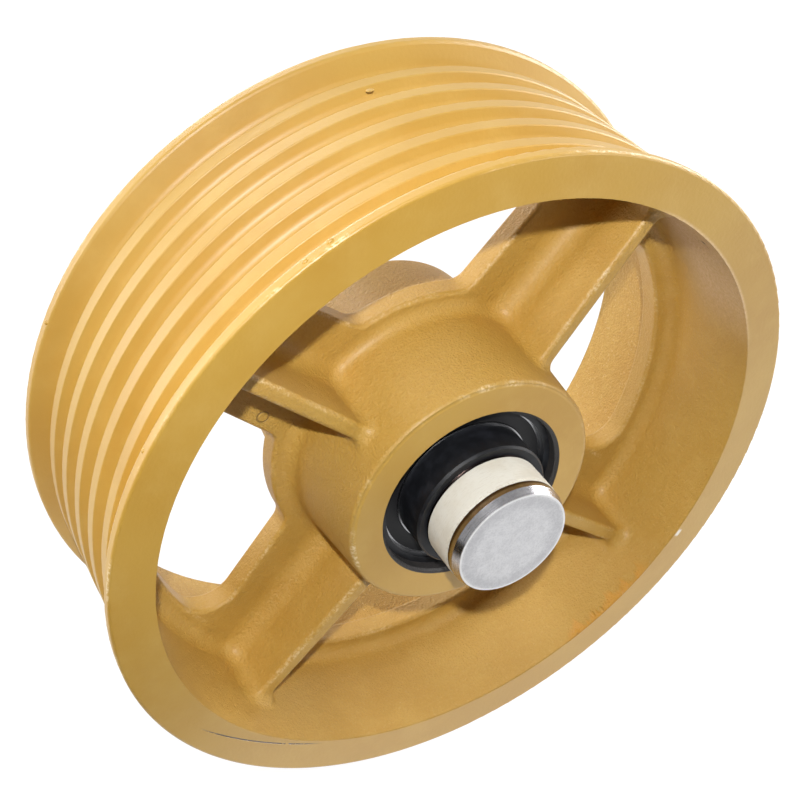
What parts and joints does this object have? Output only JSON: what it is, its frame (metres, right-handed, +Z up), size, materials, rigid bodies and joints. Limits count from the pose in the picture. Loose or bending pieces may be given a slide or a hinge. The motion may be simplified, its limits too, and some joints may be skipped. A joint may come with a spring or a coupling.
{
  "type": "wire rope sheave",
  "caption": "Multi-groove wire rope sheave: a cast wheel with ribbed spokes turning on sealed ball bearings on a fixed shaft.",
  "frame": {"origin": "centre of the wheel, on the shaft axis midway between the two rim faces", "axes": "+Z up, the shaft axis along Y, the ribbed front of the wheel towards -Y"},
  "size_m": [0.42, 0.212, 0.42],
  "materials": {
    "wheel_paint": "satin ochre enamel over a sand cast body, turned faces smoother",
    "turned_steel": "turned, bright",
    "bearing_steel": "ground and polished",
    "cage_polyamide": "moulded, plain",
    "seal_rubber": "matt",
    "black_spring_steel": "phosphated, oiled",
    "black_steel": "blackened, with a bright worn chamfer",
    "paper_tape": "creped masking tape"
  },
  "bodies": {
    "axle": {"shaft": "turned_steel", "distance_tube": "turned_steel", "tape_wrap": "paper_tape", "front_bearing_inner_ring": "bearing_steel", "rear_bearing_inner_ring": "bearing_steel", "front_collar": "black_steel", "rear_collar": "black_steel"},
    "wheel": {"sheave_wheel": "wheel_paint", "front_bearing_outer_ring": "bearing_steel", "rear_bearing_outer_ring": "bearing_steel", "front_outer_seal": "seal_rubber", "front_inner_seal": "seal_rubber", "rear_outer_seal": "seal_rubber", "rear_inner_seal": "seal_rubber", "front_retaining_ring": "black_spring_steel", "rear_retaining_ring": "black_spring_steel"},
    "front_cage": {"front_bearing_cage": "cage_polyamide", "front_bearing_balls": "bearing_steel"},
    "rear_cage": {"rear_bearing_cage": "cage_polyamide", "rear_bearing_balls": "bearing_steel"}
  },
  "joints": [
    {"name": "wheel_spin", "type": "hinge", "parent": "axle", "child": "wheel", "pos_m": [0, 0, 0], "axis": [0, 1, 0], "continuous": true},
    {"name": "front_cage_spin", "type": "hinge", "parent": "axle", "child": "front_cage", "pos_m": [0, 0, 0], "axis": [0, 1, 0], "continuous": true},
    {"name": "rear_cage_spin", "type": "hinge", "parent": "axle", "child": "rear_cage", "pos_m": [0, 0, 0], "axis": [0, 1, 0], "continuous": true}
  ],
  "couplings": [
    {"joint": "front_cage_spin", "follows": "wheel_spin", "ratio": 0.5683},
    {"joint": "rear_cage_spin", "follows": "wheel_spin", "ratio": 0.5683}
  ]
}
